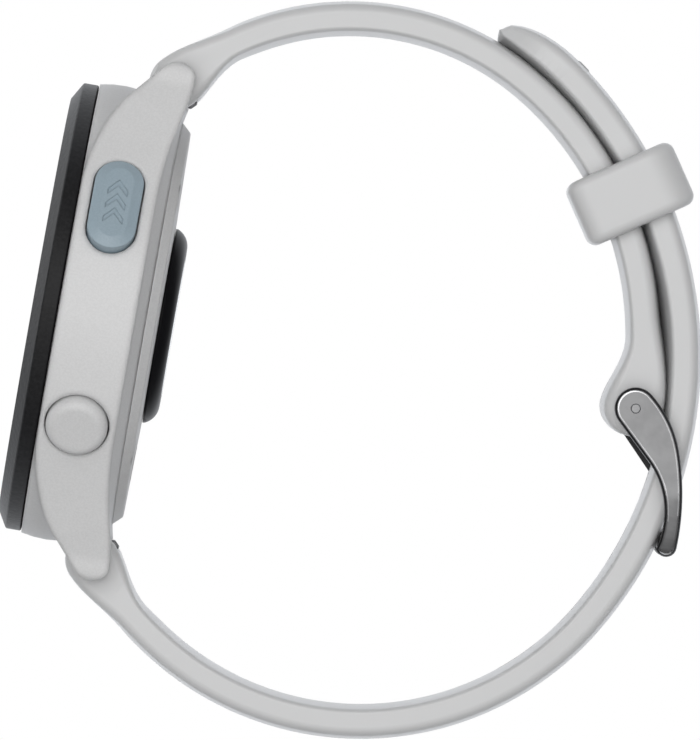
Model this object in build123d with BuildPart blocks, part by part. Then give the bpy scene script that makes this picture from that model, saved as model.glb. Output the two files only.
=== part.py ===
"""GPS running watch: round case, five buttons, closed silicone strap with a pin buckle.

Frame, in millimetres: the origin is the centre of the sensor window's wrist face, +Z points out of
the display, +Y to 12 o'clock and +X to 3 o'clock.
"""
from build123d import *
from math import cos, degrees, hypot, radians, sin, sqrt
import os

os.makedirs("parts", exist_ok=True)

# ---- driving dimensions: case ----
BEZEL_R = 21.5            # bezel outside, a 43 mm watch
BEZEL_TOP_Z = 13.35       # front plane of the bezel
BEZEL_FLAT_R = 19.85      # where the front plane turns into the facet
BEZEL_SHOULDER_Z = 12.45  # foot of the facet
BEZEL_BASE_Z = 10.95      # underside of the bezel
CASE_TOP_Z = 10.85        # top plane of the case wall, a 0.1 mm seam below the bezel
CAVITY_R = 18.4           # inside of the case wall
LEDGE_R = 16.4            # inner ledge that takes the back screws
LEDGE_Z = (3.35, 4.45)
SIDE_R = 22.2             # side faces at 3 and 9 o'clock
SIDE_FRONT_Z = 10.75      # front edge of the side face
SIDE_BACK_Z = 3.55        # back edge of the side face
COVER_R = 19.35           # back cover
COVER_FLAT_R = 18.6       # where the cover's wrist face starts
COVER_EDGE_Z = 1.65
COVER_GAP = 0.04          # seam round the back cover
COVER_Z = 1.35            # wrist face of the back cover at its centre
COVER_TOP_Z = 3.3
GLASS_R = 17.7
GLASS_Z = (12.3, 13.2)

# ---- driving dimensions: lugs and spring bars ----
BAR_Y, BAR_Z = 23.2, 3.85  # spring bar axis
LUG_INNER_X = 10.15
LUG_OUTER_X = 13.5
LUG_TIP_Y = 24.9
BAR_TUBE_R = 0.9
BAR_PIN_R = 0.45
LUG_HOLE_R = 0.5
LEVER_X = 5.6             # middle of the release lever's slot
LEVER_ANGLE = 45.0        # lever direction below the horizontal
LEVER_R = 0.4
LEVER_L = 2.75
THUMB_PAD = (1.9, 1.0)

# ---- driving dimensions: strap ----
STRAP_W = 20.0
STRAP_T = 2.9
LUG_BOSS_R = 2.6
PIN_BOSS_R = 2.75
ROOT_FLARE = (5.0, 4.0)   # roundings where the strap leaves its lug end, outside and inside
PIN_FLARE = 4.0
UPPER_HEADING = -40.61                       # direction at the bar, degrees from +Y towards +Z
UPPER_ARCS = [(26.07, -80.35), (31.34, -61.99)]
LOWER_HEADING = -137.75
LOWER_ARCS = [(38.13, 15.28), (28.39, 92.23), (38.12, 95.58)]
HOLE_L, HOLE_W, HOLE_PITCH = 4.6, 3.0, 7.6
HOLE_AT = 70.8            # distance along the lower strap of the hole that is in use
HOLES = range(-3, 6)
NUB_AT = 112.2            # small raised bar near the tip
EDGE_CHAMFER = 0.6
LONG_R = 20.0              # arcs wider than this are the strap's long edges

# ---- driving dimensions: buttons ----
BUTTON_ANGLES = {"start": 27.8, "back": -28.5, "light": 151.5, "up": 180.0, "down": 208.5}
BUTTON_Z = 7.25
ROUND_R = 2.95
ROUND_CROWN = 0.9         # rounding of the round caps
START_L, START_W = 9.3, 4.65
BUTTON_GAP = 0.15
STEM_R = 0.9
STEM_BORE_R = 1.15
SHELF_R = 20.1            # floor of the button pockets
TRAVEL = 0.45

# ---- driving dimensions: buckle and keeper ----
ARM_X = (10.4, 12.1)
ARM_STEP = 0.25           # relieved edge round the arm's outer face
PIN_R = 0.5
HUB_R = 2.0               # eye of the buckle arms
TANG_W = 2.4
KEEPER_L, KEEPER_H, KEEPER_OPEN = 6.4, 10.9, 6.55
KEEPER_OUT_X, KEEPER_IN_X = 12.1, 10.3
KEEPER_CORNER = 1.5
KEEPER_AT = 50.3          # distance along the upper strap
KEEPER_OFFSET = 1.59      # half the spacing of the two strap layers


def export(builder, name):
    """Label a finished solid and write its STEP file."""
    builder.part.label = name
    export_step(builder.part, f"parts/{name}.step")


def polar(radius, angle):
    """Point at a radius and an angle in degrees."""
    return radius * cos(radians(angle)), radius * sin(radians(angle))


def ring(builder_name, r_in, r_out, z0, z1):
    """Plain ring or disc about +Z, exported under its name."""
    with BuildPart() as body:
        with BuildSketch(Plane.XY.offset(z0)):
            Circle(r_out)
            if r_in:
                Circle(r_in, mode=Mode.SUBTRACT)
        extrude(amount=z1 - z0)
    export(body, builder_name)


class StrapPath:
    """Chain of tangent arcs in the Y-Z plane that a strap's middle follows."""

    def __init__(self, start, heading, arcs):
        self.arcs = []
        point = Vector(*start)
        for radius, turn in arcs:
            side = 1 if turn > 0 else -1
            centre = point + Vector(*polar(radius, heading + 90 * side))
            first = heading - 90 * side
            self.arcs.append((centre, radius, first, turn, side))
            heading += turn
            point = centre + Vector(*polar(radius, heading - 90 * side))
        self.end = point
        self.end_heading = heading
        self.length = sum(radius * radians(abs(turn)) for radius, turn in arcs)

    def at(self, distance, offset=0.0):
        """Point and heading at a distance along the path, offset to the outside of the loop."""
        for centre, radius, first, turn, side in self.arcs:
            span = radius * radians(abs(turn))
            if distance <= span or centre is self.arcs[-1][0]:
                angle = first + side * degrees(distance / radius)
                spot = centre + Vector(*polar(radius + offset, angle))
                return (spot.X, spot.Y), angle + 90 * side
            distance -= span
        raise ValueError("path has no arcs")

    def side_arcs(self, offset, start=0.0, stop=None):
        """Three-point arcs of one face of the strap, from start to stop along the path."""
        stop = self.length if stop is None else stop
        marks, run = [start], 0.0
        for _, radius, _, turn, _ in self.arcs[:-1]:
            run += radius * radians(abs(turn))
            if start < run < stop:
                marks.append(run)
        marks.append(stop)
        pairs = zip(marks, marks[1:])
        return [[self.at(m, offset)[0] for m in (a, (a + b) / 2, b - 1e-7)] for a, b in pairs]

    def plane(self, distance, offset=0.0):
        """Plane on the strap: local X is +X, local Y runs along the strap, normal points outwards."""
        (y, z), heading = self.at(distance, offset)
        side = self.arcs[0][4]
        out = heading - 90 * side
        return Plane(origin=(0, y, z), x_dir=(1, 0, 0), z_dir=(0, cos(radians(out)), sin(radians(out))))


upper = StrapPath((BAR_Y, BAR_Z), UPPER_HEADING, UPPER_ARCS)
lower = StrapPath((-BAR_Y, BAR_Z), LOWER_HEADING, LOWER_ARCS)
PIN_Y, PIN_Z = upper.end.X, upper.end.Y
X_PLANE = Plane.YZ


def side_sketch(points, x):
    """Straight-sided outline in the Y-Z plane at a given x."""
    with BuildSketch(X_PLANE.offset(x), mode=Mode.PRIVATE) as outline:
        with BuildLine():
            Polyline(*points, close=True)
        make_face()
    return outline.sketch


# ---- case ----
with BuildPart() as lug_side:
    with BuildSketch(Plane.XY.offset(0)):
        with BuildLine():
            turn_angle = 27.0
            tip_y = LUG_TIP_Y
            for mx in (1, -1):
                top = polar(SIDE_R, turn_angle)
                Line((mx * top[0], -top[1]), (mx * LUG_OUTER_X, -(tip_y - 2.0)))
                Line((mx * top[0], top[1]), (mx * LUG_OUTER_X, tip_y - 2.0))
                ThreePointArc((mx * top[0], -top[1]), (mx * SIDE_R, 0), (mx * top[0], top[1]))
                for my in (1, -1):
                    Spline((mx * LUG_OUTER_X, my * (tip_y - 2.0)), (mx * (LUG_OUTER_X - 0.9), my * tip_y),
                           tangents=[(-mx * 0.33, my), (-mx, my * 0.15)])
            for my in (1, -1):
                Line((-(LUG_OUTER_X - 0.9), my * tip_y), (LUG_OUTER_X - 0.9, my * tip_y))
        make_face()
    extrude(amount=14)
    with BuildSketch(X_PLANE) as side_shape:
        with BuildLine():
            for my in (1, -1):
                Line((0, SIDE_FRONT_Z), (my * 12.0, SIDE_FRONT_Z))
                Spline((my * 12.0, SIDE_FRONT_Z), (my * 17.4, 9.75), (my * 21.6, 7.35),
                       tangents=[(my, 0), (my * 0.72, -0.69)])
                Line((my * 21.6, 7.35), (my * 24.2, 5.1))
                ThreePointArc((my * 24.2, 5.1), (my * LUG_TIP_Y, 3.6), (my * 23.9, 2.0))
                Line((my * 23.9, 2.0), (my * 22.6, 2.0))
                Spline((my * 22.6, 2.0), (my * 17.5, 3.0), (my * 11.5, SIDE_BACK_Z),
                       tangents=[(-my, 0.12), (-my, 0.0)])
                Line((my * 11.5, SIDE_BACK_Z), (0, SIDE_BACK_Z))
        make_face()
    extrude(amount=SIDE_R + 1, both=True, mode=Mode.INTERSECT)

with BuildPart() as case:
    with BuildSketch(Plane.XZ):
        with BuildLine():
            Polyline((CAVITY_R, CASE_TOP_Z), (21.65, CASE_TOP_Z), (21.85, 9.6), (21.9, 8.4), (21.8, 7.2),
                     (21.75, SIDE_BACK_Z), (COVER_R + COVER_GAP, 2.5), (COVER_R + COVER_GAP, LEDGE_Z[0]),
                     (LEDGE_R, LEDGE_Z[0]), (LEDGE_R, LEDGE_Z[1]), (CAVITY_R, LEDGE_Z[1] + 0.6), close=True)
        make_face()
    revolve(axis=Axis.Z)
    add(lug_side.part)
    # cavity, cover seat and the slope that runs from the side face to the back cover
    with BuildSketch(Plane.XZ):
        with BuildLine():
            Polyline((0, -1), (COVER_R + COVER_GAP, -1), (COVER_R + COVER_GAP, LEDGE_Z[0]), (LEDGE_R, LEDGE_Z[0]),
                     (LEDGE_R, LEDGE_Z[1]), (CAVITY_R, LEDGE_Z[1] + 0.6), (CAVITY_R, 15), (0, 15), close=True)
        make_face()
    revolve(axis=Axis.Z, mode=Mode.SUBTRACT)
    # the strap fits between the lugs and turns in a round recess
    for side_y in (1, -1):
        with BuildSketch(X_PLANE.offset(-LUG_INNER_X)):
            with Locations((side_y * BAR_Y, BAR_Z)):
                Circle(LUG_BOSS_R + 0.3)
            with Locations((side_y * (BAR_Y + 4), BAR_Z)):
                Rectangle(8, 14)
        extrude(amount=2 * LUG_INNER_X, mode=Mode.SUBTRACT)
        with BuildSketch(X_PLANE.offset(-LUG_INNER_X - 1.7)):
            with Locations((side_y * BAR_Y, BAR_Z)):
                Circle(LUG_HOLE_R)
        extrude(amount=2 * (LUG_INNER_X + 1.7), mode=Mode.SUBTRACT)
    # button pockets, stem bores and flats for the clips
    for name, angle in BUTTON_ANGLES.items():
        out = (cos(radians(angle)), sin(radians(angle)), 0)
        seat = Plane(origin=(SHELF_R * out[0], SHELF_R * out[1], BUTTON_Z), x_dir=(-out[1], out[0], 0), z_dir=out)
        with BuildSketch(seat):
            if name == "start":
                SlotOverall(START_L + 2 * BUTTON_GAP, START_W + 2 * BUTTON_GAP)
            else:
                Circle(ROUND_R + BUTTON_GAP)
        extrude(amount=6, mode=Mode.SUBTRACT)
        with BuildSketch(seat):
            Circle(STEM_BORE_R)
        extrude(amount=-4, mode=Mode.SUBTRACT)
        with BuildSketch(seat.offset(18.55 - SHELF_R)):
            Circle(2.1)
        extrude(amount=-1.5, mode=Mode.SUBTRACT)
    # tapped holes for the back screws
    with BuildSketch(Plane.XY.offset(LEDGE_Z[0] - 0.1)):
        with PolarLocations(17.35, 4, start_angle=45):
            Circle(0.55)
    extrude(amount=1.4, mode=Mode.SUBTRACT)
export(case, "mid_case")

# ---- bezel, glass and display stack ----
with BuildPart() as bezel:
    with BuildSketch(Plane.XZ):
        with BuildLine():
            Polyline((GLASS_R + 0.08, 12.0), (GLASS_R + 0.08, 13.15), (18.0, BEZEL_TOP_Z),
                     (BEZEL_FLAT_R, BEZEL_TOP_Z), (21.4, BEZEL_SHOULDER_Z), (BEZEL_R, BEZEL_SHOULDER_Z - 0.12),
                     (BEZEL_R, BEZEL_BASE_Z + 0.1), (21.4, BEZEL_BASE_Z), (18.33, BEZEL_BASE_Z), (18.33, 10.0),
                     (17.6, 10.0), (17.6, 11.2), (16.9, 11.4), (16.9, 12.0), close=True)
        make_face()
    revolve(axis=Axis.Z)
    # tick marks cut into the front plane, one per hour, longer at the quarters
    for hour in range(12):
        with BuildSketch(Plane.XY.offset(BEZEL_TOP_Z - 0.12)):
            with PolarLocations(18.9, 1, start_angle=30 * hour):
                Rectangle(1.3 if hour % 3 == 0 else 0.8, 0.28)
        extrude(amount=1, mode=Mode.SUBTRACT)
export(bezel, "bezel_ring")

ring("glass_gasket", 16.95, 17.6, 12.06, GLASS_Z[0] - 0.02)
with BuildPart() as glass:
    with BuildSketch(Plane.XY.offset(GLASS_Z[0])):
        Circle(GLASS_R)
    extrude(amount=GLASS_Z[1] - GLASS_Z[0])
    chamfer(glass.faces().sort_by(Axis.Z)[-1].edges(), 0.25)
export(glass, "cover_glass")
ring("display_panel", 0, 16.6, 11.45, 12.25)
ring("inner_chassis", 0, 15.1, 8.9, 11.35)
ring("gps_antenna_ring", 16.2, 17.3, 9.6, 10.9)
ring("main_board", 0, 15.4, 7.95, 8.75)

with BuildPart() as shields:
    with BuildSketch(Plane.XY.offset(6.9)):
        for x, y, w, h in ((-5.5, 5.0, 9.0, 7.0), (5.5, 5.0, 9.0, 7.0), (0.0, -6.5, 12.0, 7.0)):
            with Locations((x, y)):
                RectangleRounded(w, h, 0.8)
    extrude(amount=1.0)
export(shields, "board_shields")

with BuildPart() as flex:
    extrude(side_sketch([(15.6, 11.4), (15.6, 8.4), (15.45, 8.4), (15.45, 7.8), (15.75, 7.8), (15.75, 11.4)], -3),
            amount=6)
export(flex, "display_flex")

with BuildPart() as battery:
    with BuildSketch(Plane.XY.offset(3.7)):
        with Locations((0, 3.2)):
            Circle(10.8)
    extrude(amount=2.9)
    chamfer(battery.edges(), 0.3)
export(battery, "battery_cell")

for coin_name, coin_x in (("vibration_motor", 5.6), ("buzzer_disc", -5.6)):
    with BuildPart() as coin:
        with BuildSketch(Plane.XY.offset(3.7)):
            with Locations((coin_x, -11.4)):
                Circle(3.4)
        extrude(amount=2.4)
        chamfer(coin.edges(), 0.2)
    export(coin, coin_name)

# ---- back cover, sensor module and port ----
with BuildPart() as cover:
    with BuildSketch(Plane.XZ):
        with BuildLine():
            Polyline((8.6, 1.38), (COVER_FLAT_R - 0.15, 1.58), (COVER_FLAT_R, COVER_EDGE_Z), (COVER_R, 2.45),
                     (COVER_R, COVER_TOP_Z), (16.2, COVER_TOP_Z), (15.8, 2.6), (8.6, 2.6), close=True)
        make_face()
    revolve(axis=Axis.Z)
    with BuildSketch(Plane.XY.offset(0)):
        with PolarLocations(17.35, 4, start_angle=45):
            Circle(0.75)
    extrude(amount=4, mode=Mode.SUBTRACT)
    with BuildSketch(Plane.XY.offset(0)):
        with PolarLocations(17.35, 4, start_angle=45):
            Circle(1.25)
    extrude(amount=2.3, mode=Mode.SUBTRACT)
    with BuildSketch(Plane.XY.offset(0)):
        with Locations((0, -13.4)):
            SlotOverall(9.4, 3.4)
    extrude(amount=1.95, mode=Mode.SUBTRACT)
    with BuildSketch(Plane.XY.offset(0)):
        with Locations(*[(x, -13.4) for x in (-3, -1, 1, 3)]):
            Circle(0.55)
        with Locations((0, 13.3)):
            Circle(0.8)
    extrude(amount=4, mode=Mode.SUBTRACT)
export(cover, "back_cover")
ring("back_cover_gasket", 17.95, 18.3, COVER_TOP_Z + 0.005, LEDGE_Z[0] - 0.005)

with BuildPart() as screws:
    with BuildSketch(Plane.XY.offset(1.85)):
        with PolarLocations(17.35, 4, start_angle=45):
            Circle(1.15)
            RegularPolygon(0.5, 6, mode=Mode.SUBTRACT)
    extrude(amount=0.43)
    with BuildSketch(Plane.XY.offset(2.1)):
        with PolarLocations(17.35, 4, start_angle=45):
            Circle(0.5)
    extrude(amount=2.3)
export(screws, "back_cover_screws")

with BuildPart() as contacts:
    with BuildSketch(Plane.XY.offset(1.7)):
        with Locations(*[(x, -13.4) for x in (-3, -1, 1, 3)]):
            Circle(0.5)
    extrude(amount=1.3)
export(contacts, "charging_contacts")

with BuildPart() as vent:
    with BuildSketch(Plane.XY.offset(2.65)):
        with Locations((0, 13.3)):
            Circle(1.4)
    extrude(amount=0.5)
export(vent, "barometer_vent")

with BuildPart() as hump:
    with BuildSketch(Plane.XZ):
        with BuildLine():
            Polyline((5.9, 2.5), (8.5, 2.5), (8.5, 1.34), (9.35, 1.34), (9.35, 1.15))
            ThreePointArc((9.35, 1.15), (8.75, 0.38), (7.3, 0.02))
            Polyline((7.3, 0.02), (6.65, 0.02), (6.65, 0.6), (5.9, 0.6), (5.9, 2.5))
        make_face()
    revolve(axis=Axis.Z)
export(hump, "sensor_hump")
with BuildPart() as window:
    with BuildSketch(Plane.XY):
        Circle(6.6)
    extrude(amount=0.58)
    chamfer(window.faces().sort_by(Axis.Z)[0].edges(), 0.12)
export(window, "sensor_window")
ring("sensor_board", 0, 5.8, 2.0, 2.5)
for dot_name, dot_r, dot_w, first in (("sensor_leds", 1.5, 1.1, 45), ("sensor_photodiodes", 4.1, 1.7, 0)):
    with BuildPart() as dots:
        with BuildSketch(Plane.XY.offset(1.2)):
            with PolarLocations(dot_r, 4, start_angle=first):
                Rectangle(dot_w, dot_w)
        extrude(amount=0.78)
    export(dots, dot_name)

# ---- buttons: cap with stem, seal ring, clip, and the switch each one presses ----
with BuildPart() as switches:
    for angle in BUTTON_ANGLES.values():
        out = (cos(radians(angle)), sin(radians(angle)), 0)
        with BuildSketch(Plane(origin=(15.6 * out[0], 15.6 * out[1], BUTTON_Z), x_dir=(-out[1], out[0], 0),
                               z_dir=out)):
            Rectangle(3.0, 1.2)
        extrude(amount=1.1)
export(switches, "tact_switches")

for name, angle in BUTTON_ANGLES.items():
    out = (cos(radians(angle)), sin(radians(angle)), 0)
    seat = Plane(origin=(0, 0, BUTTON_Z), x_dir=(-out[1], out[0], 0), z_dir=out)
    face_r = 23.1 if name == "start" else 23.3
    with BuildPart() as cap:
        with BuildSketch(seat.offset(SHELF_R + TRAVEL + 0.15)):
            if name == "start":
                SlotOverall(START_L, START_W)
            else:
                Circle(ROUND_R)
        extrude(amount=face_r - (SHELF_R + TRAVEL + 0.15))
        top = cap.faces().sort_by(Axis((0, 0, 0), out))[-1]
        if name == "start":
            chamfer(top.edges(), 0.45, 0.95)
        else:
            fillet(top.edges(), ROUND_CROWN)
        with BuildSketch(seat.offset(17.45)):
            Circle(STEM_R)
        extrude(amount=SHELF_R + TRAVEL + 0.2 - 17.45)
        for groove in (19.25, 17.75):
            with BuildSketch(seat.offset(groove)):
                Circle(STEM_R + 0.1)
                Circle(STEM_R - 0.3, mode=Mode.SUBTRACT)
            extrude(amount=0.4 if groove < 19 else 0.6, mode=Mode.SUBTRACT)
        if name == "start":
            for step in (-1.5, 0, 1.5):
                with BuildSketch(seat.offset(face_r - 0.15)):
                    with BuildLine():
                        Polyline((step - 0.75, -0.95), (step + 0.3, 0), (step - 0.75, 0.95), (step - 0.15, 0.95),
                                 (step + 0.95, 0), (step - 0.15, -0.95), close=True)
                    make_face()
                extrude(amount=1, mode=Mode.SUBTRACT)
    export(cap, f"{name}_button_cap")
    with BuildPart() as seal:
        with BuildSketch(seat.offset(19.3)):
            Circle(STEM_BORE_R - 0.03)
            Circle(STEM_R - 0.28, mode=Mode.SUBTRACT)
        extrude(amount=0.5)
    export(seal, f"{name}_button_seal")
    with BuildPart() as clip:
        with BuildSketch(seat.offset(17.8)):
            Circle(1.6)
            Circle(STEM_R - 0.28, mode=Mode.SUBTRACT)
        extrude(amount=0.3)
    export(clip, f"{name}_button_clip")

# ---- strap halves ----


def strap_sketch(path, x, start, stop, half=STRAP_T / 2):
    """Side outline of a strap between two distances along its path."""
    outer = path.side_arcs(half, start, stop)
    inner = path.side_arcs(-half, start, stop)
    with BuildSketch(X_PLANE.offset(x), mode=Mode.PRIVATE) as outline:
        with BuildLine():
            for arc in outer + inner:
                ThreePointArc(*arc)
            Line(outer[0][0], inner[0][0])
            Line(outer[-1][2], inner[-1][2])
        make_face()
    return outline.sketch


def corner(body, y, z):
    """Edges of a body along X that lie nearest to a point of the side view."""
    edges = body.edges().filter_by(Axis.X)
    return min(edges, key=lambda e: hypot(e.center().Y - y, e.center().Z - z))


def slot_sketch(plane, length, width):
    """Slot whose length runs along the strap."""
    with BuildSketch(plane, mode=Mode.PRIVATE) as slot:
        SlotOverall(length, width, rotation=90)
    return slot.sketch


def lever_plane(side_y):
    """Plane through a spring bar whose normal points along its release lever, towards the wrist."""
    return Plane(origin=(0, side_y * BAR_Y, BAR_Z), x_dir=(1, 0, 0),
                 z_dir=(0, -side_y * cos(radians(LEVER_ANGLE)), -sin(radians(LEVER_ANGLE))))


for half_name, path, side_y in (("upper", upper, 1), ("lower", lower, -1)):
    with BuildPart() as band:
        extrude(strap_sketch(path, -STRAP_W / 2, 0, path.length), amount=STRAP_W)
        if side_y < 0:
            tip_edges = band.faces().sort_by_distance((0, *path.at(path.length)[0]))[0].edges()
            fillet(tip_edges.filter_by(Axis.X, reverse=True), 7.0)
        with BuildSketch(X_PLANE.offset(-STRAP_W / 2)):
            with Locations((side_y * BAR_Y, BAR_Z)):
                Circle(LUG_BOSS_R)
            if side_y > 0:
                with Locations((PIN_Y, PIN_Z)):
                    Circle(PIN_BOSS_R)
        extrude(amount=STRAP_W)
        reach = sqrt(LUG_BOSS_R ** 2 - (STRAP_T / 2) ** 2)
        for offset_out, flare in ((STRAP_T / 2, ROOT_FLARE[0]), (-STRAP_T / 2, ROOT_FLARE[1])):
            fillet(corner(band, *path.at(reach, offset_out)[0]), flare)
        if side_y > 0:
            fillet(corner(band, *path.at(path.length - 1.8, -STRAP_T / 2)[0]), PIN_FLARE)
        long_edges = [e for e in band.edges().filter_by(GeomType.CIRCLE)
                      if e.radius > LONG_R and abs(abs(e.center().X) - STRAP_W / 2) < 0.01]
        chamfer(long_edges, EDGE_CHAMFER)
        # bore for the spring bar and slot for its release lever
        with BuildSketch(X_PLANE.offset(-STRAP_W)):
            with Locations((side_y * BAR_Y, BAR_Z)):
                Circle(BAR_TUBE_R + 0.05)
        extrude(amount=2 * STRAP_W, mode=Mode.SUBTRACT)
        with BuildSketch(lever_plane(side_y)):
            with Locations((LEVER_X, 0)):
                Rectangle(4.4, 1.5)
        extrude(amount=4, mode=Mode.SUBTRACT)
        # the ends are a little narrower than the gap between the lugs
        for x in (STRAP_W / 2 - 0.15, -STRAP_W / 2):
            extrude(side_sketch([(side_y * 18, 8), (side_y * 18, -1), (side_y * 26.6, -1), (side_y * 26.6, 8)], x),
                    amount=0.15, mode=Mode.SUBTRACT)
        if side_y > 0:
            with BuildSketch(X_PLANE.offset(-STRAP_W)):
                with Locations((PIN_Y, PIN_Z)):
                    Circle(PIN_R + 0.03)
            extrude(amount=2 * STRAP_W, mode=Mode.SUBTRACT)
            # slot for the tang's eye
            extrude(side_sketch([(PIN_Y + 2.3, PIN_Z + 4), (PIN_Y - 4, PIN_Z + 4), (PIN_Y - 4, PIN_Z - 4),
                                 (PIN_Y + 2.3, PIN_Z - 4)], -TANG_W / 2 - 0.3), amount=TANG_W + 0.6,
                    mode=Mode.SUBTRACT)
        else:
            for step in HOLES:
                plane = path.plane(HOLE_AT + step * HOLE_PITCH, -3)
                extrude(slot_sketch(plane, HOLE_L, HOLE_W), amount=6, mode=Mode.SUBTRACT)
            with BuildSketch(path.plane(NUB_AT, STRAP_T / 2 - 0.3)):
                SlotOverall(8.0, 1.6)
            extrude(amount=0.65)
    export(band, f"{half_name}_strap")

    with BuildPart() as bar:
        with BuildSketch(X_PLANE.offset(-9.3)):
            with Locations((side_y * BAR_Y, BAR_Z)):
                Circle(BAR_TUBE_R)
        extrude(amount=18.6)
        with BuildSketch(X_PLANE.offset(-11.5)):
            with Locations((side_y * BAR_Y, BAR_Z)):
                Circle(BAR_PIN_R)
        extrude(amount=3)
        with BuildSketch(X_PLANE.offset(4.2)):
            with Locations((side_y * BAR_Y, BAR_Z)):
                Circle(BAR_PIN_R + 0.05)
        extrude(amount=8, mode=Mode.SUBTRACT)
        with BuildSketch(lever_plane(side_y)):
            with Locations((LEVER_X, 0)):
                Rectangle(3.6, 1.0)
        extrude(amount=4, mode=Mode.SUBTRACT)
    export(bar, f"{half_name}_spring_bar")

    with BuildPart() as release:
        with BuildSketch(X_PLANE.offset(6.2)):
            with Locations((side_y * BAR_Y, BAR_Z)):
                Circle(BAR_PIN_R)
        extrude(amount=11.5 - 6.2)
        with BuildSketch(lever_plane(side_y)):
            with Locations((LEVER_X + 0.85, 0)):
                Circle(LEVER_R)
        extrude(amount=LEVER_L)
        with BuildSketch(lever_plane(side_y).offset(LEVER_L - 0.15)):
            with Locations((LEVER_X + 0.85, 0)):
                RectangleRounded(*THUMB_PAD, 0.3)
        extrude(amount=0.5)
        chamfer(release.faces().sort_by_distance((7, side_y * 20, 1))[0].edges(), 0.15)
    export(release, f"{half_name}_release_pin")

# ---- buckle ----
with BuildPart() as pin:
    with BuildSketch(X_PLANE.offset(-ARM_X[1] - 0.1)):
        with Locations((PIN_Y, PIN_Z)):
            Circle(PIN_R - 0.02)
    extrude(amount=2 * ARM_X[1] + 0.2)
    chamfer(pin.faces().sort_by(Axis.X)[0].edges() + pin.faces().sort_by(Axis.X)[-1].edges(), 0.1)
export(pin, "buckle_pin")


def hub_point(angle):
    """Point on the rim of the arm's eye."""
    dy, dz = polar(HUB_R, angle)
    return PIN_Y + dy, PIN_Z + dz


def arm_sketch(x):
    """Side outline of one buckle arm, from the eye to the crossbar."""
    with BuildSketch(X_PLANE.offset(x), mode=Mode.PRIVATE) as arm:
        with BuildLine():
            back = TangentArc(hub_point(-38), (-3.4, -49.35), tangent=polar(1, -128))
            back = TangentArc(back @ 1, (-12.3, -50.65), tangent=back % 1)
            tip = TangentArc(back @ 1, (-12.7, -48.75), tangent=back % 1)
            root = Line(hub_point(134), (-4.6, -46.55))
            inner = TangentArc(root @ 1, (-9.3, -48.96), tangent=root % 1)
            Line(inner @ 1, tip @ 1)
            ThreePointArc(hub_point(134), hub_point(48), hub_point(-38))
        make_face()
    return arm.sketch


with BuildPart() as frame:
    for x, side_x in ((ARM_X[0], 1), (-ARM_X[0], -1)):
        extrude(arm_sketch(x), amount=side_x * (ARM_X[1] - ARM_X[0] - ARM_STEP))
        raised = offset(arm_sketch(side_x * (ARM_X[1] - ARM_STEP)), amount=-ARM_STEP, mode=Mode.PRIVATE)
        extrude(raised, amount=side_x * ARM_STEP)
    with BuildSketch(X_PLANE.offset(-ARM_X[0] - 0.5)):
        with BuildLine():
            Polyline((-11.2, -48.95), (-11.0, -50.5), (-12.4, -50.55), (-13.1, -49.9), (-12.8, -48.95),
                     close=True)
        make_face()
    extrude(amount=2 * ARM_X[0] + 1)
    with BuildSketch(X_PLANE.offset(-STRAP_W)):
        with Locations((PIN_Y, PIN_Z)):
            Circle(PIN_R + 0.03)
    extrude(amount=2 * STRAP_W, mode=Mode.SUBTRACT)
    # notch that takes the tip of the tang
    extrude(side_sketch([(-14, -52), (-10, -52), (-10, -49.5), (-14, -49.5)], -TANG_W / 2 - 0.25),
            amount=TANG_W + 0.5, mode=Mode.SUBTRACT)
export(frame, "buckle_frame")

with BuildPart() as tang:
    extrude(side_sketch([(-1.2, -43.5), (-2.5, -43.95), (-5.6, -46.95), (-7.9, -49.6), (-12.7, -49.6),
                         (-12.95, -50.05), (-12.6, -50.42), (-7.7, -50.42), (-4.75, -47.25), (-3.0, -45.55),
                         (-1.2, -45.9)], -TANG_W / 2), amount=TANG_W)
    with BuildSketch(X_PLANE.offset(-TANG_W / 2)):
        with Locations((PIN_Y, PIN_Z)):
            Circle(1.7)
    extrude(amount=TANG_W)
    with BuildSketch(X_PLANE.offset(-TANG_W)):
        with Locations((PIN_Y, PIN_Z)):
            Circle(PIN_R + 0.05)
    extrude(amount=2 * TANG_W, mode=Mode.SUBTRACT)
export(tang, "buckle_tang")

# ---- keeper ----
(keeper_y, keeper_z), keeper_heading = upper.at(KEEPER_AT, KEEPER_OFFSET)
along = polar(1, keeper_heading)
with BuildPart() as keeper:
    with BuildSketch(Plane(origin=(0, keeper_y - along[0] * KEEPER_L / 2, keeper_z - along[1] * KEEPER_L / 2),
                           x_dir=(1, 0, 0), z_dir=(0, *along))):
        RectangleRounded(2 * KEEPER_OUT_X, KEEPER_H, KEEPER_CORNER)
        RectangleRounded(2 * KEEPER_IN_X, KEEPER_OPEN, KEEPER_CORNER / 3, mode=Mode.SUBTRACT)
    extrude(amount=KEEPER_L)
    rims = [f for f in keeper.faces() if abs(abs(f.normal_at().dot(Vector(0, *along))) - 1) < 1e-3]
    chamfer([edge for rim in rims for edge in rim.outer_wire().edges()], EDGE_CHAMFER)
export(keeper, "keeper_loop")
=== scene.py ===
"""Finished look of a round sports watch with a closed silicone strap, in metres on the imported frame."""
import logging
import math
from dataclasses import dataclass, field
from enum import Enum
from typing import Any, Sequence

import bmesh
import bpy
from mathutils import Matrix, Vector


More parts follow.
